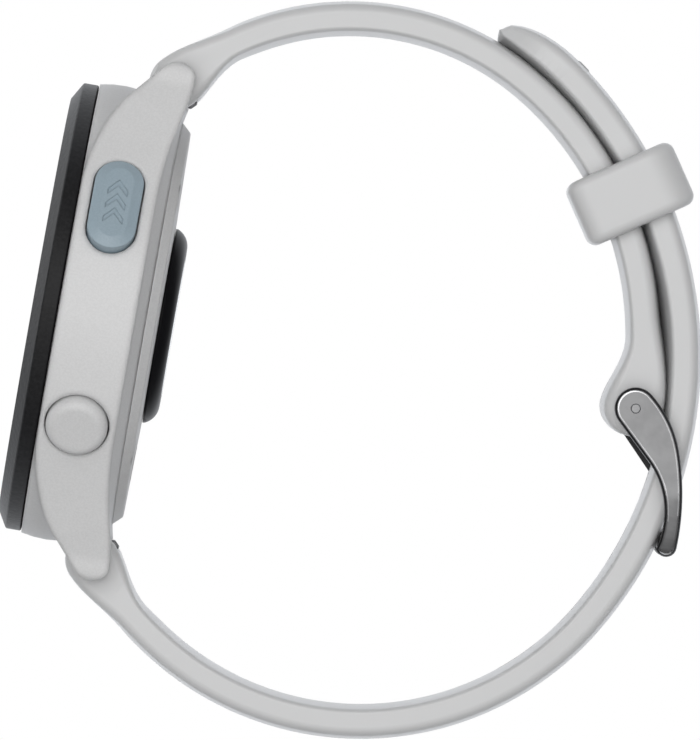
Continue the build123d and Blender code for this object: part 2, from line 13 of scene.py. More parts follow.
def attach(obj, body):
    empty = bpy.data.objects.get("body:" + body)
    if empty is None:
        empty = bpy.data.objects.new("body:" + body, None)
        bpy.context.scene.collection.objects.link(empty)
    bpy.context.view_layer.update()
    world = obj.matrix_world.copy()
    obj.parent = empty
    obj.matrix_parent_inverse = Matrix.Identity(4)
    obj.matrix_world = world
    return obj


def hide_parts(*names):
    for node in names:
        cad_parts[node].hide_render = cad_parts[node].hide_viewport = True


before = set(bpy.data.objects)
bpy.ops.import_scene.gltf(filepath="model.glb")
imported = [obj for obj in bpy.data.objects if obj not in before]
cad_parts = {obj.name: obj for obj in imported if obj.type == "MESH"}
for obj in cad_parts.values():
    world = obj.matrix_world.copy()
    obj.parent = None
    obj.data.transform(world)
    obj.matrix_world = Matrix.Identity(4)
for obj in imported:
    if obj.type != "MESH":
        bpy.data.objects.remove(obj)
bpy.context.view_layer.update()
LOG = logging.getLogger("watch")

MM = 0.001
TOUCH = 1e-4                # two places nearer than this many millimetres are the same
X_AXIS = (1.0, 0.0, 0.0)
Z_AXIS = (0.0, 0.0, 1.0)


# ---------------------------------------------------------------- shader maths
class Socket:
    """A shader value that adds a Math node for each operator used on it."""

    def __init__(self, graph: "Graph", link: bpy.types.NodeSocket) -> None:
        """Keep the nodes being built and the socket."""
        self.graph = graph
        self.link = link

    def _math(self, operation: str, first: Any, second: Any) -> "Socket":
        """Add one Math node.

        Args:
            operation: Name of the node's operation.
            first: Value or socket of the first input.
            second: Value or socket of the second input.

        Returns:
            The node's result.
        """
        inputs = {0: first, 1: second}
        return self.graph.node("ShaderNodeMath", {"operation": operation}, inputs).out("Value")

    def __add__(self, other: Any) -> "Socket":
        """Sum."""
        return self._math("ADD", self, other)

    def __radd__(self, other: Any) -> "Socket":
        """Sum with a number on the left."""
        return self._math("ADD", other, self)

    def __sub__(self, other: Any) -> "Socket":
        """Difference."""
        return self._math("SUBTRACT", self, other)

    def __rsub__(self, other: Any) -> "Socket":
        """Difference from a number on the left."""
        return self._math("SUBTRACT", other, self)

    def __mul__(self, other: Any) -> "Socket":
        """Product."""
        return self._math("MULTIPLY", self, other)

    def __rmul__(self, other: Any) -> "Socket":
        """Product with a number on the left."""
        return self._math("MULTIPLY", other, self)

    def smooth(self, low: float, high: float, to_low: float = 0.0, to_high: float = 1.0) -> "Socket":
        """Ease from one value to another between two edges.

        Args:
            low: Input where the easing starts.
            high: Input where it ends.
            to_low: Result at and before the start.
            to_high: Result at and after the end.

        Returns:
            The eased value.
        """
        settings = {"interpolation_type": "SMOOTHSTEP"}
        inputs = {"Value": self, "From Min": low, "From Max": high, "To Min": to_low, "To Max": to_high}
        return self.graph.node("ShaderNodeMapRange", settings, inputs).out("Result")


class Built:
    """A node that has been added, with its outputs by name."""

    def __init__(self, graph: "Graph", node: bpy.types.Node) -> None:
        """Keep the node and the graph it is in."""
        self.graph = graph
        self.node = node

    def out(self, name: str) -> Socket:
        """Output socket by name."""
        found = next(s for s in self.node.outputs if s.name == name and s.enabled)
        return Socket(self.graph, found)


class Graph:
    """The nodes of a material or of the world, under construction."""

    def __init__(self, owner: bpy.types.Material | bpy.types.World) -> None:
        """Start with no nodes."""
        owner.use_nodes = True
        self.tree = owner.node_tree
        self.tree.nodes.clear()

    def node(self, kind: str, settings: dict[str, Any] | None = None,
             inputs: dict[str | int, Any] | None = None) -> Built:
        """Add any node.

        Args:
            kind: Node type name.
            settings: Properties that are set before the inputs.
            inputs: Values or sockets by input name or number.

        Returns:
            The node that was added.
        """
        made = self.tree.nodes.new(kind)
        for key, value in (settings or {}).items():
            if key == "stops":
                ramp = made.color_ramp
                while len(ramp.elements) < len(value):
                    ramp.elements.new(0.5)
                for element, (position, colour) in zip(ramp.elements, value):
                    element.position = position
                    element.color = (*colour, 1.0)
            else:
                setattr(made, key, value)
        for key, value in (inputs or {}).items():
            if isinstance(key, str):
                slot = next(s for s in made.inputs if s.name == key and s.enabled)
            else:
                slot = [s for s in made.inputs if s.enabled][key]
            self.feed(slot, value)
        return Built(self, made)

    def feed(self, slot: bpy.types.NodeSocket, value: Any) -> None:
        """Link a socket or set a plain value."""
        if isinstance(value, Socket):
            self.tree.links.new(value.link, slot)
        elif isinstance(value, (tuple, list)) and len(value) == 3 and slot.type == "RGBA":
            slot.default_value = (*value, 1.0)
        else:
            slot.default_value = value


class Shader(Graph):
    """One material under construction, with a Principled surface."""

    def __init__(self, name: str) -> None:
        """Start a material with a surface."""
        self.material = bpy.data.materials.new(name)
        super().__init__(self.material)
        principled = self.node("ShaderNodeBsdfPrincipled")
        self.surface = principled.node
        self.node("ShaderNodeOutputMaterial", {}, {"Surface": principled.out("BSDF")})
        self._place: Socket | None = None

    def set(self, **values: Any) -> None:
        """Set or link the surface's inputs, written with underscores for spaces."""
        for key, value in values.items():
            self.feed(self.surface.inputs[key.replace("_", " ")], value)

    def place(self) -> Socket:
        """Object coordinates, in metres."""
        if self._place is None:
            self._place = self.node("ShaderNodeTexCoord").out("Object")
        return self._place

    def noise(self, scale: float, detail: float = 2.0, roughness: float = 0.5,
              stretch: tuple[float, float, float] = (1.0, 1.0, 1.0)) -> Socket:
        """Fractal noise on object coordinates.

        Args:
            scale: Features per metre.
            detail: Number of octaves.
            roughness: Weight of the finer octaves.
            stretch: Scale of each axis before the noise.

        Returns:
            Noise between nought and one.
        """
        place = self.place()
        if stretch != (1.0, 1.0, 1.0):
            moved = self.node("ShaderNodeMapping", {}, {"Vector": place, "Scale": stretch})
            place = moved.out("Vector")
        inputs = {"Vector": place, "Scale": scale, "Detail": detail, "Roughness": roughness}
        return self.node("ShaderNodeTexNoise", {}, inputs).out("Fac")

    def cells(self, scale: float, randomness: float = 1.0) -> Socket:
        """Distance to the nearest cell point of a Voronoi pattern."""
        inputs = {"Vector": self.place(), "Scale": scale, "Randomness": randomness}
        return self.node("ShaderNodeTexVoronoi", {"feature": "F1"}, inputs).out("Distance")

    def mix(self, amount: Any, first: Any, second: Any, blend: str = "MIX") -> Socket:
        """Mix two colours.

        Args:
            amount: Share of the second colour.
            first: First colour or socket.
            second: Second colour or socket.
            blend: Blend mode.

        Returns:
            The mixed colour.
        """
        made = self.node("ShaderNodeMix", {"data_type": "RGBA", "blend_type": blend},
                         {"Factor": amount, "A": first, "B": second})
        return made.out("Result")

    def bump(self, height: Socket, distance: float, strength: float = 1.0, ease: float = 0.0) -> Socket:
        """Normal from a height, over edges that read as rounded to a radius.

        Args:
            height: Relief, from nought to one.
            distance: Its depth in metres.
            strength: Share of the relief that shows.
            ease: Radius of the edges in metres.

        Returns:
            The normal.
        """
        inputs = {"Height": height, "Distance": distance, "Strength": strength}
        if ease:
            rounded = self.node("ShaderNodeBevel", {"samples": 6}, {"Radius": ease})
            inputs["Normal"] = rounded.out("Normal")
        return self.node("ShaderNodeBump", {}, inputs).out("Normal")

    def edge_wear(self, low: float = 0.52, high: float = 0.62) -> Socket:
        """Mask of the outward edges, from the shape's pointiness."""
        return self.node("ShaderNodeNewGeometry").out("Pointiness").smooth(low, high)


# ---------------------------------------------------------------- finishes
Colour = tuple[float, float, float]


def shade(colour: Colour, factor: float) -> Colour:
    """A colour made lighter or darker."""
    return tuple(min(1.0, part * factor) for part in colour)


@dataclass(frozen=True)
class MouldedPolymer:
    """Moulded plastic with a fine spark-eroded grain."""

    name: str
    colour: Colour
    roughness: float = 0.5
    grain: float = 5200.0
    depth: float = 0.012
    mottling: float = 0.03
    coat: float = 0.0
    rub: float = 0.1
    ease: float = 0.0
    shine: float = 0.5

    def build(self) -> bpy.types.Material:
        """Make the material.

        Returns:
            The finished material.
        """
        shader = Shader(self.name)
        broad = shader.noise(90.0, 3.0)
        fine = shader.noise(self.grain, 3.0, 0.6)
        pits = shader.cells(self.grain * 0.55).smooth(0.1, 0.75)
        darker, lighter = shade(self.colour, 1 - self.mottling), shade(self.colour, 1 + self.mottling)
        base = shader.mix(broad, darker, lighter)
        speck = fine.smooth(0.36, 0.64, 1 - self.mottling * 1.6, 1 + self.mottling * 1.6)
        grey = shader.node("ShaderNodeCombineColor", {}, {"Red": speck, "Green": speck, "Blue": speck})
        base = shader.mix(1.0, base, grey.out("Color"), "MULTIPLY")
        rub = shader.edge_wear() * self.rub
        base = shader.mix(rub, base, shade(self.colour, 1.35))
        shader.set(Base_Color=base, Coat_Weight=self.coat, Coat_Roughness=0.25, IOR=1.48,
                   Specular_IOR_Level=self.shine)
        shader.set(Roughness=self.roughness + (fine - 0.5) * 0.16 + (broad - 0.5) * 0.08 - rub * 0.4)
        height = fine * 0.6 + pits * 0.4
        shader.set(Normal=shader.bump(height, self.depth * MM, 0.8, self.ease * MM))
        return shader.material


@dataclass(frozen=True)
class Silicone:
    """Soft matte silicone with faint blooming and a skin of micro texture."""

    name: str
    colour: Colour
    roughness: float = 0.33

    def build(self) -> bpy.types.Material:
        """Make the material.

        Returns:
            The finished material.
        """
        shader = Shader(self.name)
        cloud = shader.noise(60.0, 4.0, 0.55)
        skin = shader.noise(3800.0, 3.0, 0.55)
        dust = shader.noise(900.0, 5.0, 0.7).smooth(0.6, 0.78)
        base = shader.mix(cloud, shade(self.colour, 0.975), shade(self.colour, 1.02))
        base = shader.mix(dust * 0.12, base, shade(self.colour, 1.14))
        shader.set(Base_Color=base, Sheen_Weight=0.1, Sheen_Roughness=0.4, IOR=1.45,
                   Subsurface_Weight=0.08, Subsurface_Radius=(1.0, 0.9, 0.85), Subsurface_Scale=0.0012)
        unevenness = (skin - 0.5) * 0.14 + (cloud - 0.5) * 0.1 + dust * 0.08
        shader.set(Roughness=self.roughness + unevenness)
        shader.set(Normal=shader.bump(skin * 0.7 + cloud * 0.6, 0.010 * MM, 0.7))
        return shader.material


@dataclass(frozen=True)
class BrushedMetal:
    """Metal with a drawn grain along one axis."""

    name: str
    colour: Colour
    roughness: float = 0.32
    stretch: tuple[float, float, float] = (1.0, 0.06, 0.06)
    grain: float = 5200.0

    def build(self) -> bpy.types.Material:
        """Make the material.

        Returns:
            The finished material.
        """
        shader = Shader(self.name)
        lines = shader.noise(self.grain, 3.0, 0.65, self.stretch)
        smudge = shader.noise(140.0, 4.0)
        blast = shader.noise(6500.0, 2.0, 0.5)
        base = shader.mix(lines.smooth(0.3, 0.7), shade(self.colour, 0.88), shade(self.colour, 1.12))
        base = shader.mix(smudge.smooth(0.35, 0.65) * 0.06, base, shade(self.colour, 0.8))
        shader.set(Base_Color=base, Metallic=1.0)
        shader.set(Roughness=self.roughness + (lines - 0.5) * 0.14 + (smudge - 0.5) * 0.04)
        shader.set(Normal=shader.bump(lines * 0.5 + blast * 0.5, 0.006 * MM, 0.7))
        return shader.material


@dataclass(frozen=True)
class ClearGlass:
    """Strengthened cover glass with faint finger marks."""

    name: str
    tint: Colour = (0.96, 0.98, 1.0)

    def build(self) -> bpy.types.Material:
        """Make the material.

        Returns:
            The finished material.
        """
        shader = Shader(self.name)
        marks = shader.noise(170.0, 5.0, 0.6).smooth(0.5, 0.8)
        shader.set(Base_Color=self.tint, Transmission_Weight=1.0, IOR=1.5, Coat_Weight=0.15)
        shader.set(Roughness=0.012 + marks * 0.05)
        return shader.material


@dataclass(frozen=True)
class GlossBlack:
    """Polished black plastic or coated glass with fine handling marks."""

    name: str
    colour: Colour = (0.006, 0.006, 0.007)
    roughness: float = 0.12
    shine: float = 0.12

    def build(self) -> bpy.types.Material:
        """Make the material.

        Returns:
            The finished material.
        """
        shader = Shader(self.name)
        smear = shader.noise(220.0, 5.0, 0.6)
        hair = shader.noise(1500.0, 4.0, 0.6, (0.08, 1.0, 1.0)).smooth(0.62, 0.72)
        shader.set(Base_Color=shader.mix(smear, self.colour, shade(self.colour, 1.8)), IOR=1.45,
                   Specular_IOR_Level=self.shine)
        shader.set(Roughness=self.roughness + smear * 0.07 + hair * 0.1)
        shader.set(Normal=shader.bump(hair + smear * 0.3, 0.0015 * MM, 0.5))
        return shader.material


@dataclass(frozen=True)
class Glow:
    """Lit part of the display, with a fine mesh of cells."""

    name: str
    colour: Colour
    strength: float = 1.0

    def build(self) -> bpy.types.Material:
        """Make the material.

        Returns:
            The finished material.
        """
        shader = Shader(self.name)
        mesh = shader.cells(9000.0, 0.0).smooth(0.2, 0.55, 1.0, 0.75)
        tint = shader.mix(mesh, shade(self.colour, 0.6), self.colour)
        shader.set(Base_Color=shade(self.colour, 0.15), Roughness=0.3 + mesh * 0.1, Emission_Color=tint,
                   Emission_Strength=self.strength)
        return shader.material


class Kit:
    """The finishes of this watch, each made once."""

    CASE = (0.595, 0.595, 0.597)
    STRAP = (0.58, 0.582, 0.585)

    def __init__(self) -> None:
        """Make every material."""
        self.case = MouldedPolymer("case_mist", self.CASE, 0.46, mottling=0.02, ease=0.9).build()
        self.cover = MouldedPolymer("cover_mist", shade(self.CASE, 0.95), 0.5, mottling=0.02,
                                    ease=0.2).build()
        self.bezel = MouldedPolymer("bezel_black", (0.012, 0.012, 0.013), 0.45, grain=3400.0,
                                    depth=0.03, mottling=0.12, rub=0.0, ease=0.1, shine=0.22).build()
        self.start = MouldedPolymer("start_blue", (0.29, 0.365, 0.415), 0.44, mottling=0.02,
                                    ease=0.2).build()
        self.cap = MouldedPolymer("cap_mist", self.CASE, 0.42, mottling=0.02, ease=0.3).build()
        self.silicone = Silicone("strap_silicone", self.STRAP).build()
        self.seal = Silicone("seal_black", (0.02, 0.02, 0.02), 0.6).build()
        self.dark_steel = BrushedMetal("buckle_gunmetal", (0.28, 0.28, 0.284), 0.42).build()
        # painted shade: a near-black copy of the buckle steel for the steep sides of the frame
        self.shade_painted_steel = BrushedMetal("buckle_shadow", (0.035, 0.035, 0.036), 0.34).build()
        # painted highlight: a lighter copy of the buckle steel for the first step of each rounded rim,
        # standing in for reflected light along the edges
        self.highlight_painted_steel = BrushedMetal("buckle_chamfer", (0.52, 0.52, 0.53), 0.24).build()
        self.pin_steel = BrushedMetal("pin_steel", (0.33, 0.33, 0.335), 0.4).build()
        self.steel = BrushedMetal("plain_steel", (0.42, 0.43, 0.44), 0.3).build()
        self.tin = BrushedMetal("shield_tin", (0.62, 0.62, 0.6), 0.35).build()
        self.foil = BrushedMetal("cell_foil", (0.6, 0.61, 0.63), 0.3, (1.0, 1.0, 0.1), 1800.0).build()
        self.gold = BrushedMetal("contact_gold", (0.85, 0.62, 0.25), 0.22).build()
        self.board = MouldedPolymer("board_mask", (0.01, 0.07, 0.04), 0.3, coat=0.4).build()
        self.nylon = MouldedPolymer("chassis_nylon", (0.05, 0.05, 0.055), 0.55).build()
        self.gloss = GlossBlack("sensor_gloss", roughness=0.3, shine=0.06).build()
        self.window = GlossBlack("window_gloss", (0.006, 0.006, 0.008), 0.05, 0.4).build()
        self.panel = GlossBlack("display_black", (0.004, 0.004, 0.005), 0.15).build()
        self.glass = ClearGlass("cover_clear").build()
        self.white_light = Glow("dial_white", (0.9, 0.93, 0.95), 1.3).build()
        self.blue_light = Glow("dial_blue", (0.35, 0.62, 0.8), 1.2).build()
        self.green_light = Glow("emitter_green", (0.08, 0.35, 0.12), 0.15).build()


# ---------------------------------------------------------------- mesh helpers
class Form:
    """A mesh under construction, in millimetres until it is finished."""

    def __init__(self) -> None:
        """Start with nothing."""
        self.bm = bmesh.new()

    def vertex(self, y: float, z: float) -> bmesh.types.BMVert:
        """Add one vertex in the side view's plane."""
        return self.bm.verts.new((0, y, z))

    def arc(self, start: bmesh.types.BMVert, centre: Sequence[float], turn: float,
            steps: int) -> bmesh.types.BMVert:
        """Draw an arc of edges in the side view.

        Args:
            start: Vertex that the arc leaves from.
            centre: Its centre, y and z.
            turn: Angle in degrees, positive from +Y towards +Z.
            steps: Number of edges.

        Returns:
            The last vertex.
        """
        swept = bmesh.ops.spin(self.bm, geom=[start], cent=(0, *centre), axis=X_AXIS,
                               dvec=(0, 0, 0), angle=math.radians(turn), steps=steps,
                               use_merge=False, use_duplicate=False)
        return next(g for g in swept["geom_last"] if isinstance(g, bmesh.types.BMVert))

    def line(self, start: bmesh.types.BMVert, y: float, z: float) -> bmesh.types.BMVert:
        """Draw one straight edge and return its end."""
        end = self.vertex(y, z)
        self.bm.edges.new((start, end))
        return end

    def close(self, last: bmesh.types.BMVert, first: bmesh.types.BMVert) -> bmesh.types.BMFace:
        """Close the outline that runs from first to last and fill it."""
        if (last.co - first.co).length < TOUCH:
            bmesh.ops.weld_verts(self.bm, targetmap={last: first})
        else:
            self.bm.edges.new((last, first))
        made = bmesh.ops.contextual_create(self.bm, geom=self.bm.edges[:])
        return made["faces"][0]

    def round_corners(self, corners: Sequence[bmesh.types.BMVert], reach: float, segments: int) -> None:
        """Round corners of a flat outline, from a distance back along its edges."""
        for corner in corners:
            bmesh.ops.bevel(self.bm, geom=[corner], offset=reach, offset_type="OFFSET",
                            segments=segments, profile=0.5, affect="VERTICES", material=-1)

    def thicken(self, width: float) -> None:
        """Extrude the flat outline to a width, centred on the middle plane."""
        bmesh.ops.translate(self.bm, verts=self.bm.verts, vec=(-width / 2, 0, 0))
        grown = bmesh.ops.extrude_face_region(self.bm, geom=self.bm.faces[:])
        moved = [g for g in grown["geom"] if isinstance(g, bmesh.types.BMVert)]
        bmesh.ops.translate(self.bm, verts=moved, vec=(width, 0, 0))
        bmesh.ops.recalc_face_normals(self.bm, faces=self.bm.faces)

    def soften(self, edges: Sequence[bmesh.types.BMEdge], offset: float, segments: int = 4) -> None:
        """Bevel edges round."""
        bmesh.ops.bevel(self.bm, geom=list(edges), offset=offset, offset_type="OFFSET",
                        segments=segments, profile=0.5, affect="EDGES", clamp_overlap=False,
                        material=-1)

    def slice(self, point: Sequence[float], normal: Sequence[float]) -> None:
        """Add a loop of edges where a plane crosses the mesh."""
        geometry = self.bm.verts[:] + self.bm.edges[:] + self.bm.faces[:]
        bmesh.ops.bisect_plane(self.bm, geom=geometry, dist=1e-5, plane_co=point, plane_no=normal)

    def take_in(self, other: "Form") -> None:
        """Add another form's mesh and free it."""
        spare = bpy.data.meshes.new("spare")
        other.bm.to_mesh(spare)
        other.bm.free()
        self.bm.from_mesh(spare)
        bpy.data.meshes.remove(spare)

    def rim_edges(self, x: float) -> list[bmesh.types.BMEdge]:
        """Edges whose ends both lie in a plane of constant x."""
        return [e for e in self.bm.edges if all(abs(v.co.x - x) < TOUCH for v in e.verts)]

    def finish(self, name: str, materials: Sequence[bpy.types.Material],
               sharp: float = 35.0) -> bpy.types.Object:
        """Scale to metres and make the object.

        Args:
            name: Piece name.
            materials: Its materials, in the order of the faces' indices.
            sharp: Angle in degrees over which an edge stays crisp.

        Returns:
            The new object, at the origin.
        """
        bmesh.ops.scale(self.bm, verts=self.bm.verts, vec=(MM, MM, MM))
        bmesh.ops.remove_doubles(self.bm, verts=self.bm.verts, dist=1e-7)
        bmesh.ops.recalc_face_normals(self.bm, faces=self.bm.faces)
        for face in self.bm.faces:
            face.smooth = True
        for edge in self.bm.edges:
            if len(edge.link_faces) == 2:
                edge.smooth = edge.calc_face_angle(0.0) < math.radians(sharp)
        mesh = bpy.data.meshes.new(name)
        self.bm.to_mesh(mesh)
        self.bm.free()
        for material in materials:
            mesh.materials.append(material)
        made = bpy.data.objects.new(name, mesh)
        bpy.context.scene.collection.objects.link(made)
        return made


def block(name: str, place: Sequence[float], size: Sequence[float],
          materials: Sequence[bpy.types.Material]) -> bpy.types.Object:
    """Make a plain block round a place."""
    form = Form()
    bmesh.ops.create_cube(form.bm, size=1.0)
    bmesh.ops.scale(form.bm, verts=form.bm.verts, vec=size)
    bmesh.ops.translate(form.bm, verts=form.bm.verts, vec=place)
    return form.finish(name, materials)


def weighted(piece: bpy.types.Object) -> None:
    """Let the large faces set the shading of the roundings beside them."""
    modifier = piece.modifiers.new("even_shading", "WEIGHTED_NORMAL")
    modifier.keep_sharp = True
    modifier.weight = 80


def combine(piece: bpy.types.Object, tool: bpy.types.Object, operation: str = "DIFFERENCE",
            crossing: bool = False) -> None:
    """Join one object to another or cut it out, and remove it.

    Args:
        piece: Object that is changed.
        tool: Object that is joined or taken away.
        operation: Boolean modifier's operation.
        crossing: Whether the piece is made of bodies that run into each other.
    """
    modifier = piece.modifiers.new("combine", "BOOLEAN")
    modifier.operation = operation
    modifier.solver = "EXACT"
    modifier.use_self = crossing
    modifier.object = tool
    graph = bpy.context.evaluated_depsgraph_get()
    result = bpy.data.meshes.new_from_object(piece.evaluated_get(graph))
    piece.modifiers.clear()
    old = piece.data
    piece.data = result
    bpy.data.meshes.remove(old)
    shape = tool.data
    bpy.data.objects.remove(tool)
    bpy.data.meshes.remove(shape)


def dress(material: bpy.types.Material, *nodes: str) -> None:
    """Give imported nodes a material."""
    for name in nodes:
        node = bpy.data.objects[name]
        if not node.material_slots:
            node.data.materials.append(material)
        for place in node.material_slots:
            place.material = material
        LOG.info("dressed %s in %s", name, material.name)


def polar(radius: float, angle: float) -> Vector:
    """Point of the side view at a radius and an angle in degrees."""
    return Vector((radius * math.cos(math.radians(angle)), radius * math.sin(math.radians(angle))))


# ---------------------------------------------------------------- strap
class Half(Enum):
    """The two halves of the strap."""

    UPPER = 1
    LOWER = -1


@dataclass(frozen=True)
class Bend:
    """One arc of a strap's middle line: radius in millimetres and turn in degrees."""

    radius: float
    turn: float


@dataclass
class StrapLine:
    """Middle line of a strap half: a chain of tangent arcs in the side view."""

    start: Vector
    heading: float
    bends: Sequence[Bend]
    centres: list[Vector] = field(default_factory=list)
    firsts: list[float] = field(default_factory=list)
    end: Vector = field(default_factory=lambda: Vector((0.0, 0.0)))

    def __post_init__(self) -> None:
        """Work out the centre and first angle of every arc."""
        point, heading = self.start.copy(), self.heading
        for bend in self.bends:
            side = math.copysign(90.0, bend.turn)
            self.centres.append(point + polar(bend.radius, heading + side))
            self.firsts.append(heading - side)
            heading += bend.turn
            point = self.centres[-1] + polar(bend.radius, heading - side)
        self.end = point

    def length(self) -> float:
        """Length of the whole line."""
        return sum(b.radius * math.radians(abs(b.turn)) for b in self.bends)

    def at(self, distance: float, offset: float = 0.0) -> tuple[Vector, float]:
        """Point and heading on the line.

        Args:
            distance: How far along from the spring bar.
            offset: How far outside the line.

        Returns:
            The point and the heading in degrees.
        """
        for index, (bend, centre, first) in enumerate(zip(self.bends, self.centres, self.firsts)):
            span = bend.radius * math.radians(abs(bend.turn))
            if distance <= span or index == len(self.bends) - 1:
                break
            distance -= span
        side = math.copysign(1.0, bend.turn)
        angle = first + side * math.degrees(distance / bend.radius)
        return centre + polar(bend.radius + offset, angle), angle + 90 * side

    def measure(self, spot: Vector) -> tuple[float, float]:
        """Distance along the line and offset to its outside of a point of the side view.

        Args:
            spot: The point.

        Returns:
            Both, the distance running on past either end of the line.
        """
        run = 0.0
        found = (0.0, math.inf)
        for index, (bend, centre, first) in enumerate(zip(self.bends, self.centres, self.firsts)):
            arm = spot - centre
            turned = math.degrees(math.atan2(arm.y, arm.x)) - first
            turned = (turned + 180) % 360 - 180
            span = abs(bend.turn)
            along = turned * math.copysign(1.0, bend.turn)
            low = -30.0 if index == 0 else 0.0
            high = span + 30.0 if index == len(self.bends) - 1 else span
            offset = arm.length - bend.radius
            if low - 1e-3 <= along <= high + 1e-3 and abs(offset) < abs(found[1]):
                found = (run + bend.radius * math.radians(along), offset)
            run += bend.radius * math.radians(span)
        return found

    def pose(self, distance: float, offset: float = 0.0) -> Matrix:
        """Matrix that puts local X on +X, local Y along the strap and local Z outwards."""
        point, heading = self.at(distance, offset)
        side = math.copysign(1.0, self.bends[0].turn)
        along = Vector((0, *polar(1, heading)))
        out = Vector((0, *polar(1, heading - 90 * side)))
        turn = Matrix((Vector(X_AXIS), along, out)).transposed().to_4x4()
        return Matrix.Translation((0, *point)) @ turn


UPPER_LINE = StrapLine(Vector((23.2, 3.85)), -40.61, (Bend(26.07, -80.35), Bend(31.34, -61.99)))
LOWER_LINE = StrapLine(Vector((-23.2, 3.85)), -137.75,
                       (Bend(38.13, 15.28), Bend(28.39, 92.23), Bend(38.12, 95.58)))


@dataclass
class StrapHalf:
    """A moulded silicone strap half with softly crowned faces."""

    half: Half
    line: StrapLine
    kit: Kit
    # section: half thicknesses of the side wall and of the drawn outline, and the faces' crowns
    width: float = 20.0
    wall: float = 1.3
    boss: float = 2.7
    edge: float = 0.95
    facet_start: float = 0.3
    crown: float = 0.36
    crown_blend: float = 9.0
    crown_cuts: tuple[float, ...] = (2.5, 5.0, 7.0, 8.6)
    tail_crown: float = 0.42
    tail_from: float = 70.0
    tail_blend: float = 10.0
    arc_step: float = 1.3
    # ends: half thickness to the outer and inner face, and how far each takes to fade
    root_boss: tuple[float, float] = (2.3, 2.85)
    root_blend: tuple[float, float] = (6.8, 6.8)
    pin_boss: tuple[float, float] = (2.6, 3.0)
    pin_blend: tuple[float, float] = (9.5, 6.8)
    slender_over: float = 0.8
    bar_bore: float = 0.945
    pin_bore: float = 0.525
    lever_x: float = 5.6
    lever_slot: tuple[float, float, float] = (4.6, 1.6, 4.0)
    tang_slot: tuple[float, float, float] = (3.0, 8.0, 8.0)
    tang_shift: float = -1.7
    # tail: holes, tip and the small bar near it
    hole_first: float = 70.8
    hole_pitch: float = 7.6
    hole_steps: range = range(-3, 6)
    hole_size: tuple[float, float, float] = (4.6, 3.0, 8.0)
    tip_reach: float = 7.2
    tip_over: float = 0.74
    tip_low: float = 0.9
    tip_under: float = 1.1
    tip_plan: float = 8.0
    tip_narrow: float = 0.62
    tip_cuts: int = 14
    nub_at: float = 111.9
    nub_sunk: float = 0.22
    nub_size: tuple[float, float, float] = (8.0, 1.7, 1.3)
    nub_rounding: float = 0.3

    def build(self) -> bpy.types.Object:
        """Make the strap half and hang it on its body.

        Returns:
            The finished piece.
        """
        form = Form()
        self._outline(form)
        form.thicken(self.width)
        form.soften(form.rim_edges(self.width / 2) + form.rim_edges(-self.width / 2), self.edge, 4)
        for x in (*(-cut for cut in reversed(self.crown_cuts)), 0.0, *self.crown_cuts):
            form.slice((x, 0, 0), X_AXIS)
        self._swell(form)
        if self.half is Half.LOWER:
            self._round_plan(form)
        name = f"{self.half.name.lower()}_strap_silicone"
        piece = form.finish(name, [self.kit.silicone], 50.0)
        if self.half is Half.LOWER:
            combine(piece, self._nub(), "UNION")
        for cutter in self._cutters():
            combine(piece, cutter)
        weighted(piece)
        node = f"{self.half.name.lower()}_strap"
        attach(piece, node)
        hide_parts(node)
        LOG.info("built %s", name)
        return piece

    def _outline(self, form: Form) -> None:
        """Draw the closed side outline at the thickness of the ends, with round ends."""
        first = form.vertex(*self.line.at(0, self.boss)[0])
        runs = [(bend.turn, centre) for bend, centre in zip(self.line.bends, self.line.centres)]
        last = first
        for turn, centre in runs:
            last = form.arc(last, centre, turn, round(abs(turn) / self.arc_step))
        side = self.half.value
        last = form.arc(last, self.line.end, -side * 180, 30)
        for turn, centre in reversed(runs):
            last = form.arc(last, centre, -turn, round(abs(turn) / self.arc_step))
        last = form.arc(last, self.line.start, -side * 180, 30)
        form.close(last, first)

    def _blend(self, distance: float, reach: float) -> float:
        """One at an end of the strap, easing to nought at a distance from it."""
        share = min(max(distance / reach, 0.0), 1.0)
        return 1 - share * share * (3 - 2 * share)

    def _half_thickness(self, distance: float, outward: bool) -> float:
        """Half thickness of the side wall.

        Args:
            distance: How far along the strap.
            outward: Whether it is measured to the outer face.

        Returns:
            The half thickness in millimetres.
        """
        pick = 0 if outward else 1
        left = self.line.length() - distance
        swell = (self.root_boss[pick] - self.wall) * self._blend(distance, self.root_blend[pick])
        if self.half is Half.UPPER:
            swell += (self.pin_boss[pick] - self.wall) * self._blend(left, self.pin_blend[pick])
        return self.wall + swell

    def _facet(self, share: float) -> float:
        """Lower the rounding of an outer edge to a broad slope that starts low on the side wall.

        Args:
            share: Height over the middle line as a share of the outer half thickness.

        Returns:
            The lowered share.
        """
        bare = 1 - self.edge / self.boss
        if share < bare:
            return share * self.facet_start / bare
        return self.facet_start + (share - bare) * (1 - self.facet_start) / (1 - bare)

    def _swell(self, form: Form) -> None:
        """Give each point the strap's own thickness there, with crowned faces and sloped outer edges."""
        length = self.line.length()
        reach = self.width / 2 - self.edge
        for vert in form.bm.verts:
            distance, offset = self.line.measure(Vector((vert.co.y, vert.co.z)))
            if distance > length and self.half is Half.LOWER:
                distance = length + (distance - length) * self.tip_over / self.boss
            flat = max(0.0, 1 - (abs(vert.co.x) / reach) ** 2)
            flat *= 1 - self._blend(distance, self.crown_blend)
            outer = self._half_thickness(distance, True)
            inner = self._half_thickness(distance, False) + self.crown * flat
            share = offset / self.boss
            if share > 0:
                slender = 1 - min(1.0, (outer - self.wall) / self.slender_over)
                share += slender * (self._facet(share) - share)
            outer += self.crown * flat
            if self.half is Half.LOWER:
                in_tail = 1 - self._blend(distance - self.tail_from, self.tail_blend)
                inner += self.tail_crown * flat * in_tail
                outer, inner = self._tip(distance, outer, inner)
            middle, spread = (outer - inner) / 2, (outer + inner) / 2
            spot, _ = self.line.at(distance, middle + share * spread)
            vert.co.y, vert.co.z = spot

